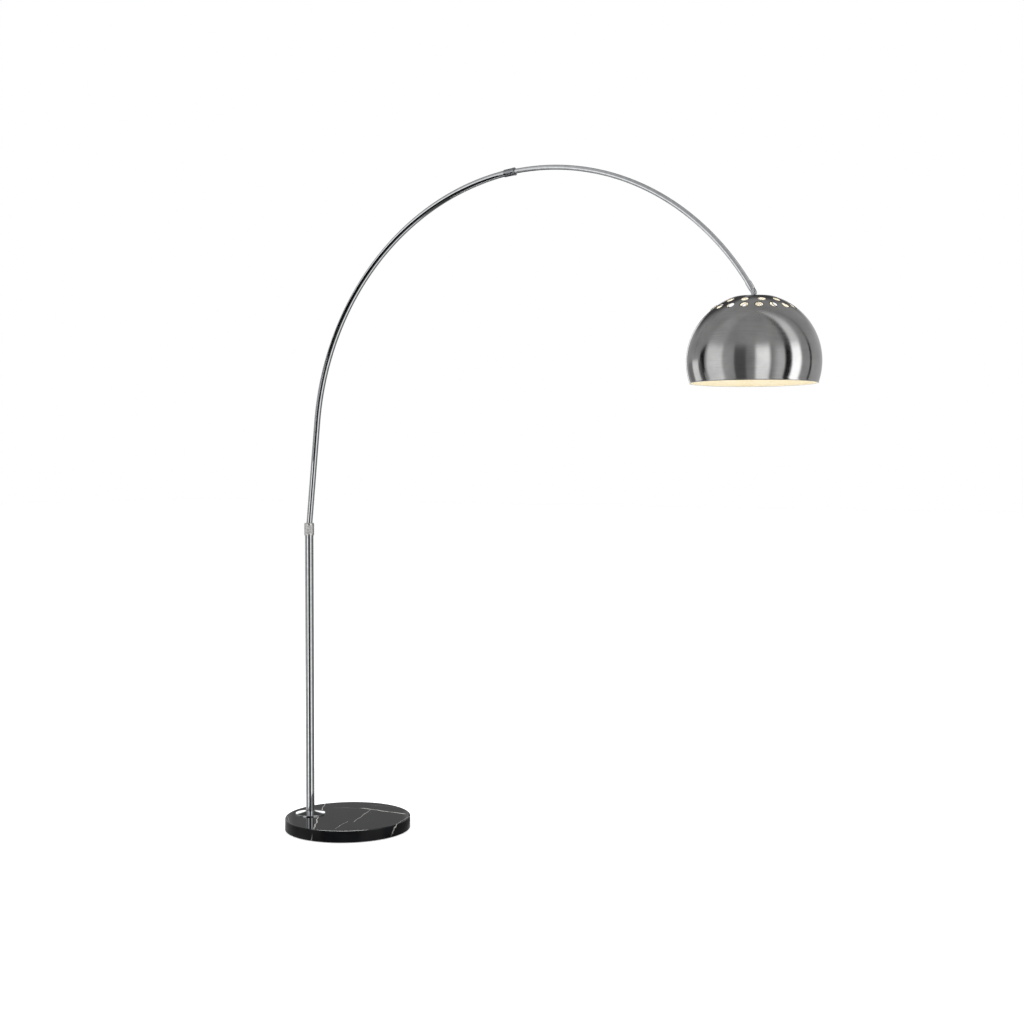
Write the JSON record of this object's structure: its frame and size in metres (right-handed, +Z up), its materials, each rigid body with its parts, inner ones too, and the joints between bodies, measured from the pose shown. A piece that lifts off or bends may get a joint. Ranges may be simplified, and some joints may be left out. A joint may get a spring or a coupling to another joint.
{
  "type": "arc floor lamp",
  "caption": "Floor lamp with a round stone base, upright pole, telescoping arc arm and a vented metal dome shade that tilts on a knuckle.",
  "frame": {"origin": "on the floor under the middle of the round base", "axes": "+Z up, +X along the arc from the pole towards the shade, +Y to the left when looking along +X"},
  "size_m": [1.5617, 0.3684, 1.779],
  "materials": {
    "felt": "pressed wool felt, matt",
    "marble": "black marble with white veins, polished",
    "grommet_rubber": "moulded rubber, matt",
    "zinc_steel": "bright zinc plate",
    "chrome": "polished chrome plate",
    "satin_collar": "fine knurl, satin nickel plate",
    "nylon": "natural nylon",
    "shade_metal": "spun, circumferentially brushed outside, warm white enamel inside",
    "brass": "turned brass",
    "holder_plastic": "white moulded plastic",
    "contact_ceramic": "unglazed ceramic",
    "insulator": "black glass insulator",
    "bulb_metal": "bright rolled thread",
    "bulb_glass": "opal glass, lit warm white"
  },
  "bodies": {
    "stand": {"felt_pad": "felt", "marble_base": "marble", "cord_grommet": "grommet_rubber", "fixing_washer": "zinc_steel", "spring_washer": "zinc_steel", "fixing_nut": "zinc_steel", "pole_plug": "zinc_steel", "foot_flange": "chrome", "pole_tube": "chrome"},
    "pole_bush": {"pole_bush": "nylon"},
    "collar": {"locking_collar": "satin_collar"},
    "lower_arm": {"lower_arc_tube": "chrome", "spigot_glide": "nylon", "arm_collet": "nylon"},
    "arm_lock": {"lock_sleeve": "chrome"},
    "upper_arm": {"upper_arc_tube": "chrome", "arm_glide": "nylon", "end_ferrule": "chrome", "swivel_fork": "chrome", "pivot_screw": "chrome", "pivot_nut": "chrome"},
    "shade": {"swivel_tongue": "chrome", "shade_cap": "chrome", "shade_dome": "shade_metal", "inner_washer": "zinc_steel", "lock_nut": "zinc_steel", "threaded_nipple": "brass", "lampholder_cap": "holder_plastic", "lampholder_body": "holder_plastic", "lampholder_ring": "holder_plastic", "contact_block": "contact_ceramic", "centre_contact": "brass", "thread_shell": "brass", "bulb_cap": "bulb_metal", "bulb_insulator": "insulator", "bulb_contact": "bulb_metal", "bulb_glass": "bulb_glass"}
  },
  "joints": [
    {"name": "arc_swivel", "type": "hinge", "parent": "stand", "child": "pole_bush", "pos_m": [-0.1059, -0.03646, 0.83], "axis": [0, 0, 1], "range_deg": [-150, 150]},
    {"name": "arc_height", "type": "slide", "parent": "pole_bush", "child": "lower_arm", "axis": [0, 0, 1], "range_m": [0, 0.12]},
    {"name": "collar_twist", "type": "hinge", "parent": "stand", "child": "collar", "pos_m": [-0.1059, -0.03646, 0.83], "axis": [0, 0, 1], "range_deg": [0, 90]},
    {"name": "arm_extend", "type": "hinge", "parent": "lower_arm", "child": "upper_arm", "pos_m": [0.62306, -0.03646, 1.06801], "axis": [0, 1, 0], "range_deg": [-24, 8]},
    {"name": "sleeve_twist", "type": "hinge", "parent": "lower_arm", "child": "arm_lock", "pos_m": [0.56118, -0.03646, 1.76728], "axis": [0.9961, 0, 0.0881], "range_deg": [0, 90]},
    {"name": "shade_tilt", "type": "hinge", "parent": "upper_arm", "child": "shade", "pos_m": [1.22975, -0.03646, 1.4214], "axis": [0, 1, 0], "range_deg": [-35, 35]}
  ]
}
